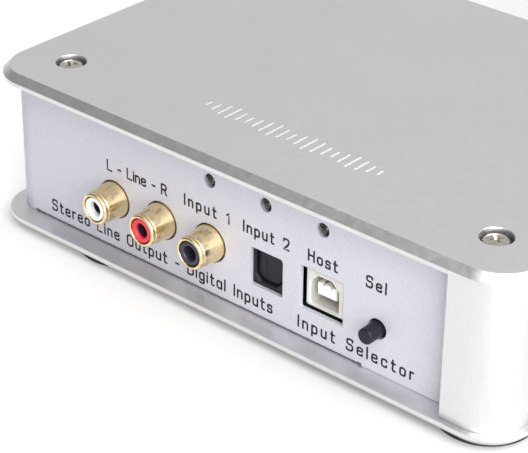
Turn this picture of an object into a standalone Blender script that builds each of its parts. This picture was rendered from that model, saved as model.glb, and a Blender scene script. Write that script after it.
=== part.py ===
"""Desktop digital-to-analogue converter for a hi-fi: two thick rounded plates with a
metal wall between them, and its sockets on a recessed rear panel.

Metres, +Z up. The sockets face -Y. The origin is on the surface that the feet stand
on, under the middle of the box around the object.
"""

import math

import bmesh
import bpy
from mathutils import Matrix, Vector

mm = 0.001
GAP = 0.3 * mm  # clearance kept between pieces that touch

# Plates
PLATE_WIDTH = 166.0 * mm
PLATE_DEPTH = 120.0 * mm
PLATE_THICK = 3.1 * mm
PLATE_RADIUS = 12.0 * mm
LIP = 1.2 * mm  # upright part of a plate's edge
CHAMFER = PLATE_THICK - LIP  # the rest slopes in at 45 degrees
REAR_EDGE = -59.2 * mm  # Y of the plates' edge above the sockets
FRONT_EDGE = REAR_EDGE + PLATE_DEPTH

# Heights
FOOT_HEIGHT = 1.2 * mm
BODY_HEIGHT = 38.5 * mm
FLOOR_TOP = FOOT_HEIGHT + PLATE_THICK  # upper face of the bottom plate
ROOF = FLOOR_TOP + BODY_HEIGHT  # lower face of the top plate
TOP = ROOF + PLATE_THICK

# Walls
SIDE = 81.2 * mm  # outer face of both side walls, as +X and -X
WRAP_REAR = REAR_EDGE + 1.45 * mm
WRAP_FRONT = FRONT_EDGE - 1.45 * mm
WRAP_THICK = 4.1 * mm
WRAP_RADIUS = 10.5 * mm
WRAP_END = 64.7 * mm  # where the wrap stops behind the plates' rear edge
WRAP_LEFT_END = 41.0 * mm  # where it stops on the left side
PANEL = REAR_EDGE + 5.9 * mm  # outer face of the rear panel
SHEET = 1.2 * mm
SHEET_RADIUS = 9.0 * mm
FLANGE_DEPTH = 5.0 * mm
FLANGE_BEND = 0.4 * mm  # outer radius of the fold along the panel's lower edge
FLANGE_LEFT, FLANGE_RIGHT = -70.5 * mm, 37.4 * mm
RELIEF_LEFT, RELIEF_RIGHT = -72.6 * mm, 38.9 * mm
RELIEF_HEIGHT = 1.1 * mm

# Sockets and controls on the rear panel
JACK_X = {"left_out": -42.0 * mm, "right_out": -25.6 * mm, "coaxial": -9.2 * mm}
JACK_Z = FLOOR_TOP + 14.5 * mm
JACK_REACH = 7.5 * mm  # how far a jack stands out of the panel
JACK_HOLE = 5.25 * mm
OPTICAL_X = 9.2 * mm
USB_X = 26.35 * mm
SWITCH_X, SWITCH_Z = 43.1 * mm, FLOOR_TOP + 12.1 * mm
LAMP_X = {"coaxial": -9.2 * mm, "optical": 8.7 * mm, "usb": 26.3 * mm}
LAMP_Z = FLOOR_TOP + 31.7 * mm

# Boards
BOARD_TOP = FLOOR_TOP + 8.4 * mm
BOARD_THICK = 1.6 * mm
SEAT = BOARD_TOP + GAP  # lower face of what stands on the main board

# Screws
SCREW_X = 67.0 * mm
SCREW_INSET = 16.0 * mm
SCREW_Y = {"rear": REAR_EDGE + SCREW_INSET, "front": FRONT_EDGE - SCREW_INSET}
COUNTERBORE = 4.05 * mm
COUNTERBORE_DEPTH = 2.0 * mm
THREAD = 1.5 * mm
STANDOFF_X = 55.0 * mm
STANDOFF_Y = {"rear": -45.0 * mm, "front": 24.0 * mm}
BOARD_THREAD = 1.25 * mm

ROUND = 24
SMALL_ROUND = 12


# ---------------------------------------------------------------- helpers


def clear_scene():
    for obj in list(bpy.data.objects):
        bpy.data.objects.remove(obj, do_unlink=True)


def material(name, colour, roughness, metallic):
    made = bpy.data.materials.new(name)
    made.use_nodes = True
    shader = made.node_tree.nodes["Principled BSDF"]
    shader.inputs["Base Color"].default_value = (*colour, 1.0)
    shader.inputs["Roughness"].default_value = roughness
    shader.inputs["Metallic"].default_value = metallic
    made.diffuse_color = (*colour, 1.0)
    return made


def place(name, bm, look, location=(0, 0, 0), rotation=(0, 0, 0), smooth=False):
    """Turns a bmesh into a named object with one material."""
    bmesh.ops.recalc_face_normals(bm, faces=bm.faces)
    mesh = bpy.data.meshes.new(name)
    bm.to_mesh(mesh)
    bm.free()
    if smooth:
        mesh.shade_smooth()
        mesh.set_sharp_from_angle(angle=math.radians(35))
    if look:
        mesh.materials.append(look)
    obj = bpy.data.objects.new(name, mesh)
    obj.location = location
    obj.rotation_euler = rotation
    bpy.context.scene.collection.objects.link(obj)
    return obj


def copy_of(obj, name, location):
    """A second object that shares the first one's mesh and modifiers."""
    twin = obj.copy()
    twin.name = name
    twin.location = location
    bpy.context.scene.collection.objects.link(twin)
    return twin


def boolean(target, tool, operation):
    tool.hide_render = True
    tool.display_type = "WIRE"
    modifier = target.modifiers.new(tool.name, "BOOLEAN")
    modifier.operation = operation
    modifier.solver = "EXACT"
    modifier.object = tool
    return target


def cut(target, *tools):
    for tool in tools:
        boolean(target, tool, "DIFFERENCE")
    return target


def join(target, *tools):
    for tool in tools:
        boolean(target, tool, "UNION")
    return target


def loft(loops):
    """A closed solid through loops of equal length, capped at both ends."""
    bm = bmesh.new()
    rings = [[bm.verts.new(point) for point in loop] for loop in loops]
    count = len(rings[0])
    for low, high in zip(rings, rings[1:]):
        for i in range(count):
            j = (i + 1) % count
            bm.faces.new((low[i], low[j], high[j], high[i]))
    bm.faces.new(rings[0])
    bm.faces.new(rings[-1])
    return bm


def prism(outline, low, high, axis="Z"):
    """A 2-D outline pushed along an axis: (x, y), (x, z) or (y, z) for Z, Y or X."""
    lift = {
        "Z": lambda a, b, t: (a, b, t),
        "Y": lambda a, b, t: (a, t, b),
        "X": lambda a, b, t: (t, a, b),
    }[axis]
    return loft([[lift(a, b, t) for a, b in outline] for t in (low, high)])


def block(low, high):
    outline = [(low[0], low[1]), (high[0], low[1]), (high[0], high[1]), (low[0], high[1])]
    return prism(outline, low[2], high[2])


def turned(profile, segments=ROUND, tube=False):
    """Spins (radius, height) points about Z. A tube's profile closes on itself."""
    bm = bmesh.new()
    rings = []
    for radius, height in profile:
        if radius == 0:
            rings.append([bm.verts.new((0, 0, height))] * segments)
            continue
        angles = [2 * math.pi * i / segments for i in range(segments)]
        rings.append(
            [bm.verts.new((radius * math.cos(a), radius * math.sin(a), height)) for a in angles]
        )
    pairs = list(zip(rings, rings[1:]))
    if tube:
        pairs.append((rings[-1], rings[0]))
    for low, high in pairs:
        for i in range(segments):
            j = (i + 1) % segments
            corners = []
            for vert in (low[i], low[j], high[j], high[i]):
                if vert not in corners:
                    corners.append(vert)
            if len(corners) > 2:
                bm.faces.new(corners)
    return bm


def arc(centre, radius, start, end, steps):
    """Points round a centre, from one angle to another in degrees."""
    points = []
    for i in range(steps + 1):
        angle = math.radians(start + (end - start) * i / steps)
        points.append((centre[0] + radius * math.cos(angle), centre[1] + radius * math.sin(angle)))
    return points


def rounded_box(left, right, low, high, radius, steps=8):
    """A rectangle with round corners. Its radius may be one for each corner."""
    radii = radius if isinstance(radius, tuple) else (radius,) * 4
    corners = (
        (right, high, -1, -1, 0),
        (left, high, 1, -1, 90),
        (left, low, 1, 1, 180),
        (right, low, -1, 1, 270),
    )
    points = []
    for (x, y, sx, sy, start), r in zip(corners, radii):
        if r == 0:
            points.append((x, y))
            continue
        points += arc((x + sx * r, y + sy * r), r, start, start + 90, steps)
    return points


def ribbon(centres, thickness):
    """A strip of even thickness along an open polyline, as a 2-D outline."""
    left, right = [], []
    for i, point in enumerate(centres):
        before = Vector(centres[max(i - 1, 0)])
        after = Vector(centres[min(i + 1, len(centres) - 1)])
        along = (after - before).normalized()
        side = Vector((-along.y, along.x)) * thickness / 2
        left.append(tuple(Vector(point) + side))
        right.append(tuple(Vector(point) - side))
    return left + right[::-1]


def cylinder_tool(name, radius, low, high, location=(0, 0, 0), rotation=(0, 0, 0), segments=ROUND):
    profile = [(0, low), (radius, low), (radius, high), (0, high)]
    return place(name, turned(profile, segments), None, location, rotation)


TO_REAR = (math.radians(90), 0, 0)  # turns local +Z to -Y, out of the rear panel


# ---------------------------------------------------------------- materials

LOOKS = {}


def make_materials():
    table = {
        "plate_aluminium": ((0.58, 0.58, 0.59), 0.42, 1.0),
        "wrap_aluminium": ((0.86, 0.86, 0.87), 0.32, 1.0),
        "panel_paint": ((0.60, 0.60, 0.66), 0.45, 0.6),
        "screw_nickel": ((0.72, 0.69, 0.64), 0.25, 1.0),
        "post_aluminium": ((0.70, 0.70, 0.71), 0.4, 1.0),
        "foot_rubber": ((0.02, 0.02, 0.022), 0.85, 0.0),
        "jack_gold": ((0.85, 0.66, 0.30), 0.22, 1.0),
        "insert_white": ((0.90, 0.90, 0.88), 0.4, 0.0),
        "insert_red": ((0.75, 0.04, 0.06), 0.4, 0.0),
        "insert_black": ((0.03, 0.03, 0.05), 0.4, 0.0),
        "black_plastic": ((0.045, 0.042, 0.052), 0.45, 0.0),
        "usb_steel": ((0.74, 0.71, 0.66), 0.3, 1.0),
        "contact_gold": ((0.80, 0.62, 0.28), 0.3, 1.0),
        "lamp_lens": ((0.05, 0.05, 0.06), 0.1, 0.0),
        "board_green": ((0.02, 0.16, 0.07), 0.4, 0.0),
        "chip_black": ((0.02, 0.02, 0.02), 0.5, 0.0),
        "crystal_steel": ((0.70, 0.70, 0.70), 0.3, 1.0),
        "capacitor_sleeve": ((0.03, 0.04, 0.09), 0.35, 0.0),
        "ribbon_grey": ((0.55, 0.56, 0.58), 0.5, 0.0),
    }
    for name, values in table.items():
        LOOKS[name] = material(name, *values)


# ---------------------------------------------------------------- casing


def plate_outline(inset):
    half = PLATE_WIDTH / 2 - inset
    return rounded_box(
        -half, half, REAR_EDGE + inset, FRONT_EDGE - inset, PLATE_RADIUS - inset, steps=7
    )


def plate(name, lip_level, outer_level):
    """A plate from its inner face, up or down its lip, and in along the chamfer."""
    away = 1 if outer_level > lip_level else -1
    levels = ((lip_level, 0.0), (lip_level + away * LIP, 0.0), (outer_level, CHAMFER))
    loops = [[(x, y, z) for x, y in plate_outline(inset)] for z, inset in levels]
    return place(name, loft(loops), LOOKS["plate_aluminium"])


def corners():
    for row, y in SCREW_Y.items():
        for hand, x in (("left", -SCREW_X), ("right", SCREW_X)):
            yield f"{row}_{hand}", x, y


def make_plates():
    top = plate("top_plate", ROOF, TOP)
    bottom = plate("bottom_plate", FLOOR_TOP, FOOT_HEIGHT)
    for where, x, y in corners():
        through = THREAD + GAP
        cut(
            top,
            cylinder_tool(f"hole_{where}", through, ROOF - mm, TOP + mm, (x, y, 0)),
            cylinder_tool(
                f"counterbore_{where}", COUNTERBORE, TOP - COUNTERBORE_DEPTH, TOP + mm, (x, y, 0)
            ),
        )
        cut(
            bottom,
            cylinder_tool(
                f"pocket_{where}", SPIGOT + GAP, FLOOR_TOP - SPIGOT_DEPTH - GAP,
                FLOOR_TOP + mm, (x, y, 0), segments=SMALL_ROUND,
            ),
        )


def wrap_path(outer):
    """The wrap's outer path, or its inner one, from the rear right round the front."""
    inset = 0 if outer else WRAP_THICK
    radius = WRAP_RADIUS - inset
    side, rear, front = SIDE - WRAP_RADIUS, WRAP_REAR + WRAP_RADIUS, WRAP_FRONT - WRAP_RADIUS
    points = [(WRAP_END, WRAP_REAR + inset)]
    points += arc((side, rear), radius, -90, 0, 8)
    points += arc((side, front), radius, 0, 90, 8)
    points += arc((-side, front), radius, 90, 180, 8)
    points.append((-SIDE + inset, WRAP_LEFT_END))
    return points


def make_wrap():
    outline = wrap_path(True) + wrap_path(False)[::-1]
    place("side_wrap", prism(outline, FLOOR_TOP + GAP, ROOF - GAP), LOOKS["wrap_aluminium"])


def sheet_outline():
    middle = SHEET / 2
    centre = (-SIDE + SHEET_RADIUS, PANEL + SHEET_RADIUS)
    outer = [(70.0 * mm, PANEL)]
    outer += arc(centre, SHEET_RADIUS, -90, -180, 8)
    outer.append((-SIDE, WRAP_LEFT_END - GAP))
    inner = [(70.0 * mm, PANEL + SHEET)]
    inner += arc(centre, SHEET_RADIUS - 2 * middle, -90, -180, 8)
    inner.append((-SIDE + SHEET, WRAP_LEFT_END - GAP))
    return outer + inner[::-1]


def flange_profile():
    """The sheet's lower edge in (y, z), bent in over the bottom plate."""
    bend, low, rise = FLANGE_BEND, FLOOR_TOP + GAP, FLOOR_TOP + 2.5 * mm
    outer = [(PANEL, rise)] + arc((PANEL + bend, low + bend), bend, 180, 270, 4)
    outer.append((PANEL + FLANGE_DEPTH, low))
    inner = [(PANEL + FLANGE_DEPTH, low + SHEET), (PANEL + SHEET, low + SHEET)]
    inner.append((PANEL + SHEET, rise))
    return outer + inner


def make_rear_panel():
    panel = place(
        "rear_panel", prism(sheet_outline(), FLOOR_TOP + GAP, ROOF - GAP), LOOKS["panel_paint"]
    )
    behind, ahead = -4.0 * mm, 4.0 * mm
    relief = block(
        (RELIEF_LEFT, PANEL - mm, FLOOR_TOP - mm),
        (RELIEF_RIGHT, PANEL + 3 * mm, FLOOR_TOP + RELIEF_HEIGHT),
    )
    cut(panel, place("relief_cut", relief, None))
    flange = prism(flange_profile(), FLANGE_LEFT, FLANGE_RIGHT, "X")
    join(panel, place("flange", flange, None))
    for name, x in JACK_X.items():
        where = (x, PANEL, JACK_Z)
        cut(panel, cylinder_tool(f"{name}_hole", JACK_HOLE, behind, ahead, where, TO_REAR))
    for name, x in LAMP_X.items():
        where = (x, PANEL, LAMP_Z)
        cut(
            panel,
            cylinder_tool(f"{name}_lamp_hole", 1.85 * mm, behind, ahead, where, TO_REAR, 16),
        )
    where = (SWITCH_X, PANEL, SWITCH_Z)
    cut(panel, cylinder_tool("switch_hole", 2.65 * mm, behind, ahead, where, TO_REAR, 24))
    openings = {
        "optical_hole": rounded_box(
            OPTICAL_X - 5.15 * mm, OPTICAL_X + 5.15 * mm,
            FLOOR_TOP + 8.4 * mm, FLOOR_TOP + 18.8 * mm,
            (0.9 * mm, 0.3 * mm, 0.3 * mm, 0.3 * mm), 3,
        ),
        "usb_hole": rounded_box(
            USB_X - 6.6 * mm, USB_X + 6.6 * mm,
            FLOOR_TOP + 8.3 * mm, FLOOR_TOP + 20.0 * mm, 0.4 * mm, 3,
        ),
    }
    for name, outline in openings.items():
        cut(panel, place(name, prism(outline, PANEL + behind, PANEL + ahead, "Y"), None))


# ---------------------------------------------------------------- fasteners and feet

SPIGOT = 2.5 * mm
SPIGOT_DEPTH = 1.5 * mm
POST_RADIUS = 4.0 * mm


def cross_recess(name, half_length, half_width, low, high):
    """A Phillips recess that narrows towards its bottom."""
    bars = []
    for i, (wide, deep) in enumerate(((half_length, half_width), (half_width, half_length))):
        loops = []
        for z, share in ((low, 0.45), (high, 1.0)):
            a, b = wide * (share if wide > deep else 1), deep * (share if deep > wide else 1)
            loops.append([(-a, -b, z), (a, -b, z), (a, b, z), (-a, b, z)])
        bars.append(place(f"{name}_{i}", loft(loops), None))
    return bars


def make_screw(name, thread, head_radius, head_height, length, location, sides=16):
    """A pan-head screw whose local Z = 0 is the underside of its head."""
    edge = 0.35 * head_height
    profile = [
        (0, -length),
        (thread, -length),
        (thread, 0),
        (head_radius, 0),
        (head_radius, head_height - 1.3 * edge),
        (head_radius - 0.45 * edge, head_height - 0.4 * edge),
        (head_radius - 1.3 * edge, head_height),
        (0, head_height),
    ]
    screw = place(name, turned(profile, sides), LOOKS["screw_nickel"], location, smooth=True)
    for bar in cross_recess(
        f"{name}_recess", 0.62 * head_radius, 0.14 * head_radius,
        0.25 * head_height, head_height + 0.2 * mm,
    ):
        bar.location = location
        cut(screw, bar)
    return screw


def make_casing_screws():
    seat = TOP - COUNTERBORE_DEPTH + GAP
    for where, x, y in corners():
        make_screw(f"top_screw_{where}", THREAD, 3.1 * mm, 1.25 * mm, 9.0 * mm, (x, y, seat))


def make_posts():
    low, high = FLOOR_TOP + GAP, ROOF - GAP
    bore, floor = THREAD + GAP, high - 11.0 * mm
    profile = [
        (0, low - SPIGOT_DEPTH),
        (SPIGOT, low - SPIGOT_DEPTH),
        (SPIGOT, low),
        (POST_RADIUS, low),
        (POST_RADIUS, high),
        (bore, high),
        (bore, floor),
        (0, floor),
    ]
    first = None
    for where, x, y in corners():
        name = f"corner_post_{where}"
        if first:
            copy_of(first, name, (x, y, 0))
            continue
        first = place(
            name, turned(profile, SMALL_ROUND), LOOKS["post_aluminium"], (x, y, 0), smooth=True
        )


def make_feet():
    """Thin rubber pads, a little hollow underneath."""
    radius, dish = 12.0 * mm, 0.3 * mm
    high = FOOT_HEIGHT - GAP
    profile = [
        (0, dish),
        (radius - 5.0 * mm, dish),
        (radius - 4.2 * mm, 0),
        (radius - 0.3 * mm, 0),
        (radius, 0.3 * mm),
        (radius, high),
        (0, high),
    ]
    rear, front = REAR_EDGE + 14.2 * mm, FRONT_EDGE - 14.2 * mm
    spots = (
        ("rear_left", -47.0 * mm, rear),
        ("rear_right", 69.0 * mm, rear),
        ("front_left", -69.0 * mm, front),
        ("front_right", 47.0 * mm, front),
    )
    first = None
    for where, x, y in spots:
        if first:
            copy_of(first, f"foot_{where}", (x, y, 0))
            continue
        first = place(
            f"foot_{where}", turned(profile, 32), LOOKS["foot_rubber"], (x, y, 0), smooth=True
        )


# ---------------------------------------------------------------- main board

BOARD_LEFT, BOARD_RIGHT = -60.0 * mm, 60.0 * mm
BOARD_REAR, BOARD_FRONT = PANEL + SHEET + 0.6 * mm, 31.0 * mm


def standoffs():
    for row, y in STANDOFF_Y.items():
        for hand, x in (("left", -STANDOFF_X), ("right", STANDOFF_X)):
            yield f"{row}_{hand}", x, y


def make_main_board():
    low = BOARD_TOP - BOARD_THICK
    outline = rounded_box(BOARD_LEFT, BOARD_RIGHT, BOARD_REAR, BOARD_FRONT, 1.5 * mm, 3)
    board = place("main_board", prism(outline, low, BOARD_TOP), LOOKS["board_green"])
    seat = FLOOR_TOP + GAP
    bore = BOARD_THREAD + GAP
    high = low - GAP
    for where, x, y in standoffs():
        cut(
            board,
            cylinder_tool(
                f"board_hole_{where}", bore, low - mm, BOARD_TOP + mm, (x, y, 0),
                segments=SMALL_ROUND,
            ),
        )
        hexagon = [(3.0 * mm, seat), (3.0 * mm, high)]
        profile = [(0, seat), *hexagon, (bore, high), (bore, seat + 1.2 * mm), (0, seat + 1.2 * mm)]
        place(f"board_standoff_{where}", turned(profile, 12), LOOKS["post_aluminium"], (x, y, 0))
        make_screw(f"board_screw_{where}", BOARD_THREAD, 2.4 * mm, 1.5 * mm, 5.4 * mm, (x, y, SEAT), 12)


def make_components():
    """What stands on the main board: two chips, a crystal and two capacitors."""
    chips = {
        "dac_chip": ((-30.0 * mm, -20.0 * mm), (10.2 * mm, 7.6 * mm), 1.9 * mm),
        "receiver_chip": ((12.0 * mm, -22.0 * mm), (9.0 * mm, 9.0 * mm), 1.5 * mm),
    }
    for name, ((x, y), (width, depth), height) in chips.items():
        draft = 0.35 * mm
        loops = []
        for z, inset in ((0, draft), (height / 2, 0), (height, draft)):
            a, b = width / 2 - inset, depth / 2 - inset
            loops.append([(-a, -b, z), (a, -b, z), (a, b, z), (-a, b, z)])
        place(name, loft(loops), LOOKS["chip_black"], (x, y, SEAT))
    can = rounded_box(-5.5 * mm, 5.5 * mm, -2.3 * mm, 2.3 * mm, 2.25 * mm, 5)
    place("crystal", prism(can, 0, 3.6 * mm), LOOKS["crystal_steel"], (30.0 * mm, -24.0 * mm, SEAT))
    radius, height = 4.0 * mm, 11.0 * mm
    profile = [
        (0, 0),
        (radius, 0),
        (radius, 1.2 * mm),
        (radius - 0.35 * mm, 1.5 * mm),
        (radius, 1.8 * mm),
        (radius, height - 0.5 * mm),
        (radius - 0.5 * mm, height),
        (0, height),
    ]
    first = place(
        "capacitor_left", turned(profile, 16), LOOKS["capacitor_sleeve"],
        (-46.0 * mm, 6.0 * mm, SEAT), smooth=True,
    )
    copy_of(first, "capacitor_right", (-34.0 * mm, 6.0 * mm, SEAT))


# ---------------------------------------------------------------- phono jacks

BARREL_TIP = 4.25 * mm
BARREL_BASE = 4.9 * mm
INSULATOR = 3.1 * mm
PIN_BORE = 1.95 * mm
CHAMBER = 2.4 * mm
BLOCK_REAR = 10.6 * mm  # how far the block reaches behind the panel's face


def make_jacks():
    """Three gold jacks in one moulded block. Local Z runs out of the panel."""
    reach, bore = JACK_REACH, INSULATOR + GAP
    barrel = [
        (bore, -8.0 * mm),
        (BARREL_TIP, -8.0 * mm),
        (BARREL_TIP, -2.0 * mm),
        (BARREL_BASE, -2.0 * mm),
        (BARREL_BASE, 0.3 * mm),
        (BARREL_TIP + 0.1 * mm, reach - 1.4 * mm),
        (BARREL_TIP, reach - 0.3 * mm),
        (BARREL_TIP - 0.3 * mm, reach),
        (bore, reach),
    ]
    insulator = [
        (0.9 * mm, -9.0 * mm),
        (INSULATOR, -9.0 * mm),
        (INSULATOR, reach - 0.3 * mm),
        (PIN_BORE + 0.3 * mm, reach - 0.3 * mm),
        (PIN_BORE, reach - 0.6 * mm),
        (PIN_BORE, reach - 3.7 * mm),
        (CHAMBER, reach - 3.7 * mm),
        (CHAMBER, -7.5 * mm),
        (0.9 * mm, -7.5 * mm),
    ]
    sleeve, pin, end = CHAMBER - GAP, 1.65 * mm, -7.2 * mm
    contact = [
        (0, -10.2 * mm),
        (0.6 * mm, -10.2 * mm),
        (0.6 * mm, end),
        (sleeve, end),
        (sleeve, reach - 4.0 * mm),
        (pin, reach - 4.0 * mm),
        (pin, end + 0.6 * mm),
        (0, end + 0.6 * mm),
    ]
    inserts = {"left_out": "insert_white", "right_out": "insert_red", "coaxial": "insert_black"}
    for name, x in JACK_X.items():
        where = (x, PANEL, JACK_Z)
        for part, profile, look, tube in (
            ("barrel", barrel, "jack_gold", True),
            ("insulator", insulator, inserts[name], True),
            ("contact", contact, "contact_gold", False),
        ):
            sides = ROUND if part == "barrel" else SMALL_ROUND + 4
            place(f"{name}_{part}", turned(profile, sides, tube), LOOKS[look], where, TO_REAR, True)


def make_jack_block():
    left = JACK_X["left_out"] - 6.6 * mm
    right = JACK_X["coaxial"] + 6.6 * mm
    front = PANEL + SHEET + GAP
    outline = rounded_box(left, right, SEAT, JACK_Z + 6.6 * mm, 0.8 * mm, 3)
    moulding = place(
        "jack_block", prism(outline, front, PANEL + BLOCK_REAR, "Y"), LOOKS["black_plastic"]
    )
    for name, x in JACK_X.items():
        where = (x, PANEL, JACK_Z)
        cut(
            moulding,
            cylinder_tool(f"{name}_flange_bore", BARREL_BASE + GAP, -2.3 * mm, mm, where, TO_REAR),
            cylinder_tool(f"{name}_bore", BARREL_TIP + GAP, -9.3 * mm, mm, where, TO_REAR, 20),
            cylinder_tool(
                f"{name}_tail_bore", 0.9 * mm, -12.0 * mm, mm, where, TO_REAR, SMALL_ROUND
            ),
        )


# ---------------------------------------------------------------- optical socket

OPTICAL_LOW, OPTICAL_HIGH = SEAT, FLOOR_TOP + 18.6 * mm
OPTICAL_HALF = 4.85 * mm
OPTICAL_FACE = PANEL + 0.8 * mm
OPTICAL_BACK = OPTICAL_FACE + 13.5 * mm
MOUTH_HALF = 4.05 * mm
MOUTH_LOW, MOUTH_HIGH = FLOOR_TOP + 9.8 * mm, FLOOR_TOP + 17.8 * mm
MOUTH_CORNER = 1.6 * mm
CAVITY_END = OPTICAL_FACE + 9.0 * mm
HINGE_Y, HINGE_Z = OPTICAL_FACE + 1.35 * mm, FLOOR_TOP + 17.15 * mm
FLAP_THICK = 0.7 * mm
HINGE_PIN = 0.4 * mm


def mouth_outline(grow):
    """The plug's outline: a square whose two lower corners are cut off."""
    half, low, high = MOUTH_HALF + grow, MOUTH_LOW - grow, MOUTH_HIGH + grow
    corner = MOUTH_CORNER + 0.6 * grow
    return [
        (-half, high),
        (-half, low + corner),
        (-half + corner, low),
        (half - corner, low),
        (half, low + corner),
        (half, high),
    ]


def make_optical_socket():
    half = OPTICAL_HALF
    body = rounded_box(-half, half, OPTICAL_LOW, OPTICAL_HIGH, 0.4 * mm, 3)
    at = (OPTICAL_X, 0, 0)
    housing = place(
        "optical_housing", prism(body, OPTICAL_FACE, OPTICAL_BACK, "Y"), LOOKS["black_plastic"], at
    )
    lead = 0.35 * mm
    steps = ((OPTICAL_FACE - mm, lead + mm), (OPTICAL_FACE + lead, 0.0), (CAVITY_END, 0.0))
    loops = [[(x, y, z) for x, z in mouth_outline(grow)] for y, grow in steps]
    centre = (MOUTH_LOW + MOUTH_HIGH) / 2
    pocket = block((-3.8 * mm, CAVITY_END + 2.0 * mm, centre - 3.6 * mm),
                   (3.8 * mm, OPTICAL_BACK + mm, centre + 3.6 * mm))
    bore_at = (OPTICAL_X, CAVITY_END, centre)
    cut(
        housing,
        place("mouth", loft(loops), None, at),
        place("module_pocket", pocket, None, at),
        cylinder_tool("ferrule_bore", 1.5 * mm, -3.0 * mm, mm, bore_at, TO_REAR, SMALL_ROUND),
        cylinder_tool(
            "hinge_bore", HINGE_PIN + GAP, -6.0 * mm, 6.0 * mm, (OPTICAL_X, HINGE_Y, HINGE_Z),
            (0, math.radians(90), 0), SMALL_ROUND,
        ),
    )
    side, base = 3.5 * mm, CAVITY_END + 2.0 * mm + GAP
    body = block((-side, base, centre - 3.3 * mm), (side, OPTICAL_BACK + 0.4 * mm, centre + 3.3 * mm))
    module = place("optical_module", body, LOOKS["chip_black"], at)
    dome = [(0, -mm), (1.1 * mm, -mm), (1.1 * mm, 0.6 * mm), (0.8 * mm, 1.1 * mm), (0, 1.35 * mm)]
    lens_at = (OPTICAL_X, base, centre)
    join(module, place("module_lens", turned(dome, SMALL_ROUND), None, lens_at, TO_REAR))


def make_shutter():
    """A flap that hangs from its hinge pins. Its origin is on their axis."""
    half = MOUTH_HALF - 0.35 * mm
    low = MOUTH_LOW + 0.3 * mm - HINGE_Z
    high = 0.3 * mm
    corner = MOUTH_CORNER
    outline = [
        (-half, high),
        (-half, low + corner),
        (-half + corner, low),
        (half - corner, low),
        (half, low + corner),
        (half, high),
    ]
    at = (OPTICAL_X, HINGE_Y, HINGE_Z)
    flap = place(
        "optical_shutter", prism(outline, -FLAP_THICK / 2, FLAP_THICK / 2, "Y"),
        LOOKS["black_plastic"], at,
    )
    reach = OPTICAL_HALF - 0.15 * mm
    join(
        flap,
        cylinder_tool("hinge_pins", HINGE_PIN, -reach, reach, at, (0, math.radians(90), 0), 12),
    )


# ---------------------------------------------------------------- USB socket

USB_LOW, USB_HIGH = SEAT, FLOOR_TOP + 19.6 * mm
USB_HALF = 6.02 * mm
USB_FACE = PANEL + 1.0 * mm
USB_BACK = USB_FACE + 16.0 * mm
PLUG_HALF = 4.23 * mm
PLUG_LOW, PLUG_HIGH = FLOOR_TOP + 10.2 * mm, FLOOR_TOP + 18.0 * mm
PLUG_CORNER = 2.1 * mm
TONGUE_HALF, TONGUE_HEIGHT = 2.9 * mm, 3.2 * mm
TONGUE_MIDDLE = FLOOR_TOP + 14.2 * mm
TONGUE_FACE = USB_FACE + 1.2 * mm
TONGUE_ROOT = USB_FACE + 9.5 * mm
CONTACT_PITCH = 1.25 * mm


def plug_outline(inset):
    """The plug's outline: a square whose two upper corners are cut off."""
    half, low, high = PLUG_HALF - inset, PLUG_LOW + inset, PLUG_HIGH - inset
    corner, small = PLUG_CORNER - 0.6 * inset, 0.5 * mm
    return [
        (-half, low + small),
        (-half + small, low),
        (half - small, low),
        (half, low + small),
        (half, high - corner),
        (half - corner, high),
        (-half + corner, high),
        (-half, high - corner),
    ]


def make_usb_socket():
    at = (USB_X, 0, 0)
    body = rounded_box(-USB_HALF, USB_HALF, USB_LOW, USB_HIGH, 0.8 * mm, 4)
    shell = place("usb_shell", prism(body, USB_FACE, USB_BACK, "Y"), LOOKS["usb_steel"], at)
    steps = ((USB_FACE - mm, -1.3 * mm), (USB_FACE + 0.3 * mm, 0.0), (USB_BACK + mm, 0.0))
    loops = [[(x, y, z) for x, z in plug_outline(inset)] for y, inset in steps]
    cut(shell, place("plug_way", loft(loops), None, at))

    root = prism(plug_outline(GAP), TONGUE_ROOT, USB_BACK - 0.5 * mm, "Y")
    insert = place("usb_insert", root, LOOKS["insert_white"], at)
    low, high = TONGUE_MIDDLE - TONGUE_HEIGHT / 2, TONGUE_MIDDLE + TONGUE_HEIGHT / 2
    tongue = rounded_box(-TONGUE_HALF, TONGUE_HALF, low, high, 0.2 * mm, 2)
    join(insert, place("tongue", prism(tongue, TONGUE_FACE, TONGUE_ROOT + mm, "Y"), None, at))
    half, thick = 0.4 * mm, 0.4 * mm
    number = 0
    for level, face in ((high, 1), (low, -1)):
        for x in (-CONTACT_PITCH, CONTACT_PITCH):
            number += 1
            reach = sorted((level - face * (thick + GAP), level + face * GAP))
            groove = block((x - half - GAP, TONGUE_FACE - mm, reach[0]),
                           (x + half + GAP, USB_BACK + mm, reach[1]))
            cut(insert, place(f"groove_{number}", groove, None, at))
            levels = sorted((level - face * thick, level))
            strip = block((x - half, TONGUE_FACE + 0.4 * mm, levels[0]),
                          (x + half, USB_BACK + 0.6 * mm, levels[1]))
            place(f"usb_contact_{number}", strip, LOOKS["contact_gold"], at)


# ---------------------------------------------------------------- switch

BUTTON = 2.05 * mm
BUTTON_REACH = 4.8 * mm


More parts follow.
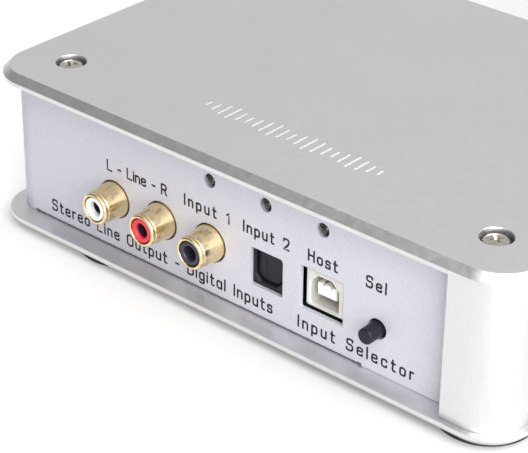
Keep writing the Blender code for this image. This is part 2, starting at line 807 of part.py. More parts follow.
def make_switch():
    at = (SWITCH_X, PANEL, SWITCH_Z)
    half = 3.9 * mm
    front = PANEL + SHEET + GAP
    outline = rounded_box(SWITCH_X - half, SWITCH_X + half, SEAT, SWITCH_Z + 3.7 * mm, 0.4 * mm, 3)
    body = place(
        "switch_body", prism(outline, front, PANEL + 13.0 * mm, "Y"), LOOKS["black_plastic"]
    )
    cut(body, cylinder_tool("button_bore", BUTTON + GAP, -10.0 * mm, mm, at, TO_REAR, 24))
    tip = BUTTON_REACH
    profile = [
        (0, -7.0 * mm),
        (BUTTON, -7.0 * mm),
        (BUTTON, tip - 0.45 * mm),
        (BUTTON - 0.15 * mm, tip - 0.15 * mm),
        (BUTTON - 0.5 * mm, tip),
        (0, tip),
    ]
    place("switch_button", turned(profile, 24), LOOKS["black_plastic"], at, TO_REAR, True)


# ---------------------------------------------------------------- lamps

LAMP_BOARD_FACE = PANEL + 5.1 * mm
LAMP_BOARD_THICK = 1.6 * mm
LAMP_BOARD_LOW, LAMP_BOARD_HIGH = FLOOR_TOP + 26.9 * mm, FLOOR_TOP + 36.9 * mm
STUD_X = (-15.6 * mm, 34.6 * mm)


def make_lamps():
    radius, tip = 1.5 * mm, 0.2 * mm
    seat = -(LAMP_BOARD_FACE - PANEL) + GAP
    dome = arc((0, tip - radius), radius, 0, 90, 4)
    profile = [(0, seat), (1.85 * mm, seat), (1.85 * mm, seat + 0.9 * mm), (radius, seat + 0.9 * mm)]
    profile += dome[:-1] + [(0, tip)]
    lead = 1.27 * mm
    for name, x in LAMP_X.items():
        where = (x, PANEL, LAMP_Z)
        lamp = place(f"{name}_lamp", turned(profile, 14), LOOKS["lamp_lens"], where, TO_REAR, True)
        for hand, offset in (("left", -lead), ("right", lead)):
            spot = (x + offset, PANEL, LAMP_Z)
            pin = cylinder_tool(
                f"{name}_lead_{hand}", 0.3 * mm, seat - 3.4 * mm, seat + 0.4 * mm, spot, TO_REAR, 6
            )
            join(lamp, pin)


def make_lamp_board():
    margin = 4.0 * mm
    outline = rounded_box(
        STUD_X[0] - margin, STUD_X[1] + margin, LAMP_BOARD_LOW, LAMP_BOARD_HIGH, mm, 3
    )
    back = LAMP_BOARD_FACE + LAMP_BOARD_THICK
    board = place("lamp_board", prism(outline, LAMP_BOARD_FACE, back, "Y"), LOOKS["board_green"])
    for name, x in LAMP_X.items():
        for hand in (-1, 1):
            spot = (x + hand * 1.27 * mm, back, LAMP_Z)
            cut(
                board,
                cylinder_tool(f"{name}_way_{hand}", 0.6 * mm, -3 * mm, 4 * mm, spot, TO_REAR, 8),
            )
    for hand, x in zip(("left", "right"), STUD_X):
        spot = (x, back, LAMP_Z)
        cut(board, cylinder_tool(f"stud_way_{hand}", 1.3 * mm, -3 * mm, 4 * mm, spot, TO_REAR, 12))
        root, shoulder = -(SHEET + GAP), -(LAMP_BOARD_FACE - PANEL) + GAP
        end = shoulder - LAMP_BOARD_THICK - 1.6 * mm
        profile = [(0, root), (2.2 * mm, root), (2.2 * mm, shoulder), (mm, shoulder), (mm, end), (0, end)]
        stud = (x, PANEL, LAMP_Z)
        place(
            f"lamp_board_stud_{hand}", turned(profile, 12), LOOKS["post_aluminium"], stud,
            TO_REAR, True,
        )


def make_ribbon():
    """The flat cable that joins the lamp board to the main board, as a bent strip."""
    bend, back = 3.0 * mm, -36.0 * mm
    start = LAMP_BOARD_FACE + LAMP_BOARD_THICK + GAP
    high = LAMP_BOARD_LOW + 1.6 * mm
    route = [(start, high)]
    route += arc((back - bend, high - bend), bend, 90, 0, 6)
    route.append((back, SEAT))
    outline = ribbon(route, 0.8 * mm)
    place("lamp_ribbon", prism(outline, -7.0 * mm, 3.0 * mm, "X"), LOOKS["ribbon_grey"])


def main():
    clear_scene()
    make_materials()
    make_plates()
    make_wrap()
    make_rear_panel()
    make_casing_screws()
    make_posts()
    make_feet()
    make_main_board()
    make_components()
    make_jacks()
    make_jack_block()
    make_optical_socket()
    make_shutter()
    make_usb_socket()
    make_switch()
    make_lamps()
    make_lamp_board()
    make_ribbon()


main()
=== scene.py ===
"""Looks for the desktop audio converter: fine surfaces, materials, light and camera.

Metres, in the CAD frame: the sockets face -Y and +Z is up. Sizes come from the boxes
of the CAD nodes, so every piece lies exactly where its solid does.
"""

import math

import bmesh
import bpy
from mathutils import Matrix, Vector


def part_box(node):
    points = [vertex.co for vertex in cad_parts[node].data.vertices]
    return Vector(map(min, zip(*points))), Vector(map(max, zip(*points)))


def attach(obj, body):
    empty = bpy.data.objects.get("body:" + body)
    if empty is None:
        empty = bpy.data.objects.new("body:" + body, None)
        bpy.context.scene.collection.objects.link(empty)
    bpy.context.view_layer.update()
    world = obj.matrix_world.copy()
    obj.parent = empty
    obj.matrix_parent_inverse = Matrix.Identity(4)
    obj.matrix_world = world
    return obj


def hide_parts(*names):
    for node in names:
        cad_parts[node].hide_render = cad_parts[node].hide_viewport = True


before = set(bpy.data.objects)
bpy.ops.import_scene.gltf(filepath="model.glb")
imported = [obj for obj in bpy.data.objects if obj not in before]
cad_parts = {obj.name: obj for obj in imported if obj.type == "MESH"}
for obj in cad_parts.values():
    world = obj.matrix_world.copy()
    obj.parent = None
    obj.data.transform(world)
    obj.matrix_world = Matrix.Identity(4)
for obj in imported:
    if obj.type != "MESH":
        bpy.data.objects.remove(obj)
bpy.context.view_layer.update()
mm = 0.001
TO_REAR = Matrix.Rotation(math.radians(90), 4, "X")  # local +Z comes out of the panel


def middle(node, axis):
    low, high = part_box(node)
    return (low[axis] + high[axis]) / 2


# Which finish each CAD node has. The plain materials that came with it go.
CAD_FINISH = {name: obj.material_slots[0].material.name for name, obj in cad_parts.items()}
for plain in list(bpy.data.materials):
    bpy.data.materials.remove(plain)

# Places read from the CAD
TOP_LOW, TOP_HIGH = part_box("top_plate")
BOTTOM_LOW, BOTTOM_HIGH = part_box("bottom_plate")
WRAP_LOW, WRAP_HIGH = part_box("side_wrap")
SHEET_LOW, SHEET_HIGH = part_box("rear_panel")
PANEL = SHEET_LOW[1]
FLOOR_TOP = BOTTOM_HIGH[2]
ROOF = TOP_LOW[2]

# Sizes that part.py shares
LIP = 1.2 * mm
CHAMFER = TOP_HIGH[2] - TOP_LOW[2] - LIP
PLATE_RADIUS = 12.0 * mm
WRAP_THICK = 4.1 * mm
WRAP_RADIUS = 10.5 * mm
WRAP_END = 64.7 * mm
SHEET = 1.2 * mm
SHEET_RADIUS = 9.0 * mm
FLANGE_DEPTH = 5.0 * mm
FLANGE_BEND = 0.4 * mm
FLANGE_LEFT, FLANGE_RIGHT = -70.5 * mm, 37.4 * mm
RELIEF_LEFT, RELIEF_RIGHT = -72.6 * mm, 38.9 * mm
COUNTERBORE = 4.05 * mm
COUNTERBORE_DEPTH = 2.0 * mm
THREAD = 1.5 * mm
GAP = 0.3 * mm
JACKS = ("left_out", "right_out", "coaxial")
LAMPS = ("coaxial", "optical", "usb")
JACK_REACH = 7.5 * mm
JACK_HOLE = 5.25 * mm
LAMP_HOLE = 1.85 * mm
BUTTON_HOLE = 2.65 * mm

# Finer than the solids
SEAM = 0.08 * mm  # what is left open where the walls meet the plates
RELIEF_HEIGHT = 0.7 * mm  # the dark slot along the panel's lower edge
INK_THICK = 0.02 * mm
BEND_STEPS = 28  # faces round a big corner of the casing

# Camera, at the view of the photograph
CAMERA_AT = Vector((271.5 * mm, -356.0 * mm, 258.7 * mm))
AZIMUTH, ELEVATION, ROLL = 41.007, 29.679, 0.673
LENS_WIDTHS = 3.6992  # focal length over sensor width

# Light
SKY = 0.66
FLOOR_GLOW = 0.10  # the floor is lit from below too, so its shadows stay pale
LEFT_GLOW = 0.30  # more of it to the left of the casing, where no shadow shows
KEY_AT, KEY_AIM = (0.31, -0.16, 0.19), (0.05, -0.055, 0.02)
KEY_SIZE = 0.38
KEY_POWER = 3.1


# ---------------------------------------------------------------- mesh helpers


def add(name, bm, look, body="body", stands_for=(), matrix=None, smooth=30):
    """Turns a bmesh into a piece that rides on a body and stands for CAD nodes.

    Without a look it is only a cutting tool, and rides on nothing.
    """
    bmesh.ops.remove_doubles(bm, verts=bm.verts, dist=1e-7)
    bmesh.ops.recalc_face_normals(bm, faces=bm.faces)
    mesh = bpy.data.meshes.new(name)
    bm.to_mesh(mesh)
    bm.free()
    mesh.shade_smooth()
    mesh.set_sharp_from_angle(angle=math.radians(smooth))
    obj = bpy.data.objects.new(name, mesh)
    bpy.context.scene.collection.objects.link(obj)
    if matrix is not None:
        obj.matrix_world = matrix
    if look is not None:
        mesh.materials.append(look)
        bpy.context.view_layer.update()
        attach(obj, body)
        if stands_for:
            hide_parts(*stands_for)
    return obj


def loft(loops):
    """A closed solid through loops of equal length, capped at both ends."""
    bm = bmesh.new()
    rings = [[bm.verts.new(point) for point in loop] for loop in loops]
    count = len(rings[0])
    for low, high in zip(rings, rings[1:]):
        for i in range(count):
            j = (i + 1) % count
            bm.faces.new((low[i], low[j], high[j], high[i]))
    bm.faces.new(rings[0])
    bm.faces.new(rings[-1])
    return bm


LIFT = {
    "Z": lambda a, b, t: (a, b, t),
    "Y": lambda a, b, t: (a, t, b),
    "X": lambda a, b, t: (t, a, b),
}


def prism(outline, low, high, axis="Z"):
    """A 2-D outline pushed along an axis: (x, y), (x, z) or (y, z) for Z, Y or X."""
    lift = LIFT[axis]
    return loft([[lift(a, b, t) for a, b in outline] for t in (low, high)])


def block(low, high):
    outline = [(low[0], low[1]), (high[0], low[1]), (high[0], high[1]), (low[0], high[1])]
    return prism(outline, low[2], high[2])


def turned(profile, segments, tube=False):
    """Spins (radius, height) points about Z. A tube's profile closes on itself."""
    bm = bmesh.new()
    rings = []
    for radius, height in profile:
        if radius == 0:
            rings.append([bm.verts.new((0, 0, height))] * segments)
            continue
        angles = [2 * math.pi * i / segments for i in range(segments)]
        rings.append(
            [bm.verts.new((radius * math.cos(a), radius * math.sin(a), height)) for a in angles]
        )
    pairs = list(zip(rings, rings[1:]))
    if tube:
        pairs.append((rings[-1], rings[0]))
    for low, high in pairs:
        for i in range(segments):
            j = (i + 1) % segments
            corners = list(dict.fromkeys((low[i], low[j], high[j], high[i])))
            if len(corners) > 2:
                bm.faces.new(corners)
    return bm


def arc(centre, radius, start, end, steps):
    points = []
    for i in range(steps + 1):
        angle = math.radians(start + (end - start) * i / steps)
        points.append((centre[0] + radius * math.cos(angle), centre[1] + radius * math.sin(angle)))
    return points


def rounded_box(left, right, low, high, radius, steps):
    """A rectangle with one radius, or four: right high, left high, left low, right low."""
    radii = radius if isinstance(radius, tuple) else (radius,) * 4
    corners = (
        (right, high, -1, -1, 0),
        (left, high, 1, -1, 90),
        (left, low, 1, 1, 180),
        (right, low, -1, 1, 270),
    )
    points = []
    for (x, y, sx, sy, start), r in zip(corners, radii):
        points += arc((x + sx * r, y + sy * r), r, start, start + 90, steps)
    return points


def ease(start, corner, end, steps):
    """Points on a smooth curve from start to end that leans towards a corner."""
    points = []
    for k in range(steps + 1):
        t = k / steps
        points.append(tuple(start * (1 - t) ** 2 + corner * 2 * t * (1 - t) + end * t**2))
    return points


def soften(profile, radius, steps=3, closed=False):
    """Rounds the corners of a polyline, so that turned and lofted edges catch light."""
    count = len(profile)
    points = []
    for i, here in enumerate(profile):
        if not closed and i in (0, count - 1):
            points.append(here)
            continue
        here = Vector(here)
        before, after = Vector(profile[i - 1]), Vector(profile[(i + 1) % count])
        room = min(radius, (before - here).length * 0.45, (after - here).length * 0.45)
        start = here + (before - here).normalized() * room
        end = here + (after - here).normalized() * room
        points += ease(start, here, end, steps)
    return points


def round_sharp(outline, radius, limit=30):
    """Rounds the corners of a closed outline that turn by more than a limit in degrees."""
    points = []
    for i, here in enumerate(outline):
        here = Vector(here)
        before = Vector(outline[i - 1]) - here
        after = Vector(outline[(i + 1) % len(outline)]) - here
        if 180 - math.degrees(before.angle(after)) < limit:
            points.append(tuple(here))
            continue
        start, end = here + before.normalized() * radius, here + after.normalized() * radius
        points += ease(start, here, end, 4)
    return points


def boolean(target, tool_bm, name, operation="DIFFERENCE", matrix=None):
    """Cuts or joins a tool and applies the result, then removes the tool."""
    tool = add(name, tool_bm, None, matrix=matrix)
    modifier = target.modifiers.new(name, "BOOLEAN")
    modifier.operation = operation
    modifier.solver = "EXACT"
    modifier.object = tool
    bpy.context.view_layer.update()
    graph = bpy.context.evaluated_depsgraph_get()
    made = bpy.data.meshes.new_from_object(target.evaluated_get(graph))
    target.modifiers.remove(modifier)
    old, target.data = target.data, made
    bpy.data.meshes.remove(old)
    bpy.data.objects.remove(tool, do_unlink=True)


def round_front(edges, face, back, corner, radius):
    """A box along Y with rounded corners, whose front edge rolls over by a radius."""
    left, right, low, high = edges
    least_corner = 0.1 * mm
    loops = []
    for degrees in range(90, -15, -15):
        angle = math.radians(degrees)
        inset, y = radius * (1 - math.cos(angle)), face + radius * (1 - math.sin(angle))
        outline = rounded_box(
            left + inset, right - inset, low + inset, high - inset,
            max(corner - inset, least_corner), 8,
        )
        loops.append([(u, y, v) for u, v in outline])
    loops.append([(u, back, v) for u, _, v in loops[-1]])
    return loft(loops)


def disc(radius, low, high, segments):
    return turned([(0, low), (radius, low), (radius, high), (0, high)], segments)


def edge_bevel(obj, width):
    """A small bevel on the sharp edges, with shading that stays flat on the faces."""
    bevel = obj.modifiers.new("edges", "BEVEL")
    bevel.width = width
    bevel.segments = 2
    bevel.limit_method = "ANGLE"
    bevel.angle_limit = math.radians(30)
    bevel.miter_outer = "MITER_ARC"
    bevel.harden_normals = True
    bevel.use_clamp_overlap = True


def out_of_panel(node):
    """A matrix whose +Z comes out of the rear panel at a node's centre."""
    return Matrix.Translation((middle(node, 0), PANEL, middle(node, 2))) @ TO_REAR


def dome(radius, centre, rise):
    """Profile points over a dome, from just above its rim to just beside its middle."""
    angles = [math.radians(9 * i) for i in range(1, 10)]
    return [(radius * math.cos(a), centre + rise * math.sin(a)) for a in angles]


# ---------------------------------------------------------------- materials


def node(tree, kind, inputs=None, **settings):
    """Adds a shader node. An input may be a value or another node's output."""
    made = tree.nodes.new("ShaderNode" + kind)
    for key, value in settings.items():
        setattr(made, key, value)
    for socket, value in (inputs or {}).items():
        if isinstance(value, bpy.types.NodeSocket):
            tree.links.new(value, made.inputs[socket])
        else:
            made.inputs[socket].default_value = value
    return made


def noise(tree, place, size, stretch=(1, 1, 1), detail=3.0, seed=0.0):
    """Noise with grains of about a size in metres."""
    scaled = node(
        tree, "Mapping",
        {"Vector": place, "Scale": [s / size for s in stretch], "Location": (seed, seed, seed)},
    ).outputs["Vector"]
    return node(
        tree, "TexNoise", {"Vector": scaled, "Scale": 1.0, "Detail": detail}
    ).outputs["Fac"]


def spread(tree, value, low, high, start=0.3, end=0.7, ramp="LINEAR"):
    """Maps start..end of a value onto low..high. The middle of a noise is 0.3 to 0.7."""
    return node(
        tree, "MapRange",
        {"Value": value, "From Min": start, "From Max": end, "To Min": low, "To Max": high},
        interpolation_type=ramp,
    ).outputs["Result"]


def tint(tree, fac, dark, light, start=0.3, end=0.7):
    """A colour that goes from dark to light with a noise value."""
    ramp = node(tree, "ValToRGB", {"Fac": fac})
    for stop, place, colour in zip(ramp.color_ramp.elements, (start, end), (dark, light)):
        stop.position = place
        stop.color = (*colour, 1.0)
    return ramp.outputs["Color"]


def tinted(tree, first, second):
    """One colour times another."""
    whole, first_colour, second_colour, colour_out = 0, 6, 7, 2  # the Mix node's sockets
    return node(
        tree, "Mix", {whole: 1.0, first_colour: first, second_colour: second},
        data_type="RGBA", blend_type="MULTIPLY",
    ).outputs[colour_out]


def combine(tree, operation, first, second):
    return node(tree, "Math", {0: first, 1: second}, operation=operation).outputs["Value"]


def finish_of(
    name, dark, light, rough, grain, height, metallic=0.0, stretch=(1, 1, 1), clouds=0.0,
    **constants
):
    """A material from its two colours, roughness range, grain size and grain height.

    Clouds are broad darker patches, by up to that share of the colour.
    """
    made = bpy.data.materials.new(name)
    made.use_nodes = True
    tree = made.node_tree
    shader = tree.nodes["Principled BSDF"]
    shader.inputs["Metallic"].default_value = metallic
    for socket, value in constants.items():
        shader.inputs[socket.replace("_", " ")].default_value = value
    place = node(tree, "TexCoord").outputs["Object"]
    coarser, cloud_size = 5.3, 25 * mm
    fine = noise(tree, place, grain, stretch)
    coarse = noise(tree, place, grain * coarser, stretch, detail=2.0, seed=3.7)
    colour = tint(tree, fine, dark, light)
    if clouds:
        drift = noise(tree, place, cloud_size, detail=2.0, seed=9.1)
        colour = tinted(tree, colour, tint(tree, drift, grey(1.0 - clouds), grey(1.0)))
    tree.links.new(colour, shader.inputs["Base Color"])
    tree.links.new(spread(tree, coarse, *rough), shader.inputs["Roughness"])
    bump = node(tree, "Bump", {"Height": fine, "Strength": 1.0, "Distance": height})
    tree.links.new(bump.outputs["Normal"], shader.inputs["Normal"])
    return made


def grey(value, blue=0.0):
    return (value, value, value + blue)


FINISHES = {
    "plate_aluminium": dict(
        dark=grey(0.73), light=grey(0.82, 0.004), rough=(0.37, 0.43), grain=0.28 * mm,
        height=0.006 * mm, metallic=1.0, clouds=0.03,
    ),
    "wrap_aluminium": dict(
        dark=grey(0.75, 0.008), light=grey(0.81, 0.010), rough=(0.34, 0.42), grain=0.16 * mm,
        height=0.003 * mm, metallic=1.0, stretch=(1, 1, 0.06), clouds=0.02,
    ),
    "panel_paint": dict(
        dark=(0.51, 0.505, 0.565), light=(0.60, 0.595, 0.65), rough=(0.46, 0.58),
        grain=0.34 * mm, height=0.028 * mm, metallic=0.22, clouds=0.02, Specular_IOR_Level=0.4,
    ),
    "screw_nickel": dict(
        dark=(0.46, 0.44, 0.41), light=(0.66, 0.63, 0.59), rough=(0.14, 0.24), grain=0.7 * mm,
        height=0.010 * mm, metallic=1.0,
    ),
    "post_aluminium": dict(
        dark=grey(0.66), light=grey(0.75), rough=(0.32, 0.45), grain=0.2 * mm,
        height=0.004 * mm, metallic=1.0,
    ),
    "foot_rubber": dict(
        dark=grey(0.014), light=grey(0.026), rough=(0.78, 0.92), grain=0.3 * mm,
        height=0.02 * mm,
    ),
    "jack_gold": dict(
        dark=(0.78, 0.60, 0.31), light=(0.92, 0.77, 0.47), rough=(0.15, 0.26), grain=1.1 * mm,
        height=0.004 * mm, metallic=1.0,
    ),
    "insert_white": dict(
        dark=(0.74, 0.74, 0.735), light=(0.81, 0.81, 0.80), rough=(0.32, 0.42), grain=0.4 * mm,
        height=0.003 * mm,
    ),
    "insert_red": dict(
        dark=(0.62, 0.022, 0.040), light=(0.72, 0.035, 0.055), rough=(0.30, 0.40),
        grain=0.4 * mm, height=0.003 * mm,
    ),
    "insert_black": dict(
        dark=(0.016, 0.016, 0.026), light=(0.026, 0.025, 0.042), rough=(0.28, 0.40),
        grain=0.4 * mm, height=0.003 * mm,
    ),
    "black_plastic": dict(
        dark=(0.006, 0.005, 0.009), light=(0.013, 0.011, 0.019), rough=(0.32, 0.44),
        grain=0.22 * mm, height=0.006 * mm, Specular_IOR_Level=0.28,
    ),
    "usb_steel": dict(
        dark=(0.62, 0.60, 0.56), light=(0.71, 0.69, 0.65), rough=(0.28, 0.38), grain=0.3 * mm,
        height=0.003 * mm, metallic=0.4, stretch=(0.25, 1, 1),
    ),
    "contact_gold": dict(
        dark=(0.78, 0.70, 0.50), light=(0.88, 0.80, 0.62), rough=(0.22, 0.34), grain=0.2 * mm,
        height=0.002 * mm, metallic=1.0,
    ),
    "lamp_lens": dict(
        dark=(0.004, 0.004, 0.006), light=(0.009, 0.009, 0.012), rough=(0.05, 0.10),
        grain=0.8 * mm, height=0.002 * mm, Coat_Weight=0.6, Coat_Roughness=0.04,
    ),
    "board_green": dict(
        dark=(0.001, 0.012, 0.006), light=(0.003, 0.024, 0.012), rough=(0.34, 0.46),
        grain=1.6 * mm, height=0.01 * mm, Specular_IOR_Level=0.3,
    ),
    "chip_black": dict(
        dark=grey(0.012), light=grey(0.022), rough=(0.48, 0.60), grain=0.12 * mm,
        height=0.01 * mm,
    ),
    "crystal_steel": dict(
        dark=grey(0.64), light=grey(0.72), rough=(0.22, 0.32), grain=0.2 * mm,
        height=0.003 * mm, metallic=1.0, stretch=(0.2, 1, 1),
    ),
    "capacitor_sleeve": dict(
        dark=(0.020, 0.028, 0.070), light=(0.034, 0.044, 0.098), rough=(0.28, 0.36),
        grain=0.6 * mm, height=0.003 * mm,
    ),
    "ribbon_grey": dict(
        dark=grey(0.42, 0.01), light=grey(0.56, 0.01), rough=(0.42, 0.55), grain=1.27 * mm,
        height=0.06 * mm, stretch=(1, 0.02, 0.02),
    ),
    "ink_dark": dict(
        dark=(0.008, 0.008, 0.011), light=(0.016, 0.016, 0.020), rough=(0.62, 0.75),
        grain=0.15 * mm, height=0.002 * mm, Specular_IOR_Level=0.3,
    ),
    "ink_pale": dict(
        dark=grey(0.52), light=grey(0.60), rough=(0.40, 0.52), grain=0.15 * mm,
        height=0.002 * mm,
    ),
}
LOOKS = {name: finish_of(name, **values) for name, values in FINISHES.items()}

# The CAD's inner pieces stay as they are, with these finishes
for name, finish in CAD_FINISH.items():
    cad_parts[name].material_slots[0].material = LOOKS[finish]


# ---------------------------------------------------------------- casing


def corners():
    for where in ("rear_left", "rear_right", "front_left", "front_right"):
        node_name = f"top_screw_{where}"
        yield where, middle(node_name, 0), middle(node_name, 1)


def plate_loops(profile):
    loops = []
    for inset, z in profile:
        outline = rounded_box(
            TOP_LOW[0] + inset, TOP_HIGH[0] - inset, TOP_LOW[1] + inset, TOP_HIGH[1] - inset,
            PLATE_RADIUS - inset, BEND_STEPS,
        )
        loops.append([(x, y, z) for x, y in outline])
    return loops


def plate_profile(inner, outer):
    """(inset, z) points over a plate's edge: an upright lip, then a broad chamfer."""
    away = 1 if outer > inner else -1
    edge = [
        (mm, inner), (0.0, inner), (0.0, inner + away * LIP), (CHAMFER, outer),
        (CHAMFER + mm, outer),
    ]
    return soften(edge, 0.16 * mm, 4)


def weigh(obj):
    """Keeps the shading of big flat faces flat beside their rounded edges."""
    modifier = obj.modifiers.new("normals", "WEIGHTED_NORMAL")
    modifier.keep_sharp = True
    modifier.weight = 100


def make_plates():
    top = add(
        "fine_top_plate", loft(plate_loops(plate_profile(ROOF, TOP_HIGH[2]))),
        LOOKS["plate_aluminium"], stands_for=("top_plate",), smooth=40,
    )
    face = TOP_HIGH[2]
    rim = 0.16 * mm
    bore = COUNTERBORE
    for where, x, y in corners():
        tool = [
            (0, ROOF - mm), (THREAD + GAP, ROOF - mm), (THREAD + GAP, face - COUNTERBORE_DEPTH),
            (bore, face - COUNTERBORE_DEPTH), (bore, face - rim), (bore + rim, face),
            (bore + rim, face + mm), (0, face + mm),
        ]
        boolean(
            top, turned(tool, 72), f"bore_{where}", matrix=Matrix.Translation((x, y, 0))
        )
    weigh(top)
    bottom = add(
        "fine_bottom_plate", loft(plate_loops(plate_profile(FLOOR_TOP, BOTTOM_LOW[2]))),
        LOOKS["plate_aluminium"], stands_for=("bottom_plate",), smooth=40,
    )
    pocket, deep = 2.8 * mm, 1.8 * mm  # for the spigots of the corner posts
    for where, x, y in corners():
        boolean(
            bottom, disc(pocket, FLOOR_TOP - deep, FLOOR_TOP + mm, 32), f"pocket_{where}",
            matrix=Matrix.Translation((x, y, 0)),
        )
    weigh(bottom)


def make_wrap():
    side = WRAP_HIGH[0]
    rear, front = WRAP_LOW[1], WRAP_HIGH[1]
    left_end = SHEET_HIGH[1] + GAP

    def path(inset):
        radius = WRAP_RADIUS - inset
        across, back, ahead = side - WRAP_RADIUS, rear + WRAP_RADIUS, front - WRAP_RADIUS
        points = [(WRAP_END, rear + inset)]
        points += arc((across, back), radius, -90, 0, BEND_STEPS)
        points += arc((across, ahead), radius, 0, 90, BEND_STEPS)
        points += arc((-across, ahead), radius, 90, 180, BEND_STEPS)
        points.append((-side + inset, left_end))
        return points

    outline = path(0.0) + path(WRAP_THICK)[::-1]
    outline = round_sharp(outline, 0.25 * mm)
    wrap = add(
        "fine_side_wrap", prism(outline, FLOOR_TOP + SEAM, ROOF - SEAM), LOOKS["wrap_aluminium"],
        stands_for=("side_wrap",),
    )
    edge_bevel(wrap, 0.05 * mm)


def make_rear_panel():
    left, right = SHEET_LOW[0], SHEET_HIGH[0]
    end = SHEET_HIGH[1]
    centre = (left + SHEET_RADIUS, PANEL + SHEET_RADIUS)
    outer = [(right, PANEL)]
    outer += arc(centre, SHEET_RADIUS, -90, -180, BEND_STEPS) + [(left, end)]
    inner = [(right, PANEL + SHEET)]
    inner += arc(centre, SHEET_RADIUS - SHEET, -90, -180, BEND_STEPS) + [(left + SHEET, end)]
    panel = add(
        "fine_rear_panel", prism(outer + inner[::-1], FLOOR_TOP + SEAM, ROOF - SEAM),
        LOOKS["panel_paint"], stands_for=("rear_panel",),
    )
    relief = block(
        (RELIEF_LEFT, PANEL - mm, FLOOR_TOP - mm),
        (RELIEF_RIGHT, PANEL + 3 * mm, FLOOR_TOP + RELIEF_HEIGHT),
    )
    boolean(panel, relief, "relief")
    bend, low, rise = FLANGE_BEND, SHEET_LOW[2], FLOOR_TOP + 2.5 * mm
    flange = [(PANEL, rise)] + arc((PANEL + bend, low + bend), bend, 180, 270, 8)
    flange.append((PANEL + FLANGE_DEPTH, low))
    flange += [(PANEL + FLANGE_DEPTH, low + SHEET), (PANEL + SHEET, low + SHEET)]
    flange.append((PANEL + SHEET, rise))
    boolean(panel, prism(flange, FLANGE_LEFT, FLANGE_RIGHT, "X"), "flange", "UNION")
    through = 4 * mm  # how far a cutting tool reaches on each side
    holes = [(f"{name}_barrel", JACK_HOLE, 72) for name in JACKS]
    holes += [(f"{name}_lamp", LAMP_HOLE, 40) for name in LAMPS]
    holes.append(("switch_button", BUTTON_HOLE, 48))
    for name, radius, segments in holes:
        boolean(
            panel, disc(radius, -through, through, segments), f"{name}_hole",
            matrix=out_of_panel(name),
        )
    small, large = 0.3 * mm, 0.9 * mm
    for name, shell, half, low, high, radii in (
        ("optical", "optical_housing", 5.15 * mm, 8.4 * mm, 18.8 * mm, (large, *[small] * 3)),
        ("usb", "usb_shell", 6.6 * mm, 8.3 * mm, 20.0 * mm, (0.4 * mm,) * 4),
    ):
        x = middle(shell, 0)
        opening = rounded_box(x - half, x + half, FLOOR_TOP + low, FLOOR_TOP + high, radii, 4)
        boolean(panel, prism(opening, PANEL - through, PANEL + through, "Y"), f"{name}_hole")
    edge_bevel(panel, 0.07 * mm)


# ---------------------------------------------------------------- screws and feet


def cross(radius, low, high):
    """A Phillips recess: two tapered bars that meet in a cone."""
    bars = []
    for turn in (0, 90):
        loops = []
        for z, length, width in ((low, 0.40, 0.13), (high, 1.0, 0.20)):
            a, b = radius * length, radius * width
            loops.append([(-a, -b, z), (a, -b, z), (a, b, z), (-a, b, z)])
        bm = loft(loops)
        bmesh.ops.rotate(bm, verts=bm.verts, matrix=Matrix.Rotation(math.radians(turn), 3, "Z"))
        bars.append(bm)
    return bars


def make_top_screws():
    turns = {"rear_left": 24, "rear_right": 52, "front_left": 8, "front_right": 71}
    tip, edge = 0.4 * mm, 0.12 * mm
    for where, x, y in corners():
        name = f"top_screw_{where}"
        at = Matrix.Translation((x, y, 0))
        low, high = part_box(name)
        head = (high[0] - low[0]) / 2
        seat = TOP_HIGH[2] - COUNTERBORE_DEPTH + GAP
        rise = high[2] - seat
        shank = [
            (0, low[2]), (THREAD - 0.3 * mm, low[2]), (THREAD, low[2] + tip), (THREAD, seat),
            (head - 0.1 * mm, seat), (head, seat + edge), (head, seat + rise / 2),
        ]
        profile = shank + dome(head, seat + rise / 2, rise / 2) + [(0, seat + rise)]
        screw = add(
            f"fine_{name}", turned(profile, 64), LOOKS["screw_nickel"],
            stands_for=(name,), matrix=at,
        )
        # A thin dark ring on each counterbore's seat, round the screw head: painted shade in the
        # gap between head and bore, not a real part.
        inner, outer = 2.0 * mm, COUNTERBORE - 0.1 * mm
        under, over = seat - 0.28 * mm, seat - 0.02 * mm
        shade_ring = [(inner, under), (outer, under), (outer, over), (inner, over)]
        add(
            f"washer_{where}", turned(shade_ring, 64, tube=True), LOOKS["foot_rubber"],
            matrix=at,
        )
        spin = at @ Matrix.Rotation(math.radians(turns[where]), 4, "Z")
        for i, bar in enumerate(cross(0.68 * head, seat + 0.2 * rise, seat + rise + GAP)):
            boolean(screw, bar, f"{name}_bar_{i}", matrix=spin)
        screw.data.set_sharp_from_angle(angle=math.radians(40))


def make_feet():
    for where in ("rear_left", "rear_right", "front_left", "front_right"):
        name = f"foot_{where}"
        low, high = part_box(name)
        radius, top, dish = (high[0] - low[0]) / 2, high[2], 0.3 * mm
        profile = soften(
            [
                (0, dish), (radius - 5.0 * mm, dish), (radius - 4.4 * mm, 0),
                (radius, 0), (radius, top), (0, top),
            ],
            0.08 * mm,
        )
        add(
            f"fine_{name}", turned(profile, 96), LOOKS["foot_rubber"],
            stands_for=(name,),
            matrix=Matrix.Translation((middle(name, 0), middle(name, 1), 0)),
        )


# ---------------------------------------------------------------- phono jacks


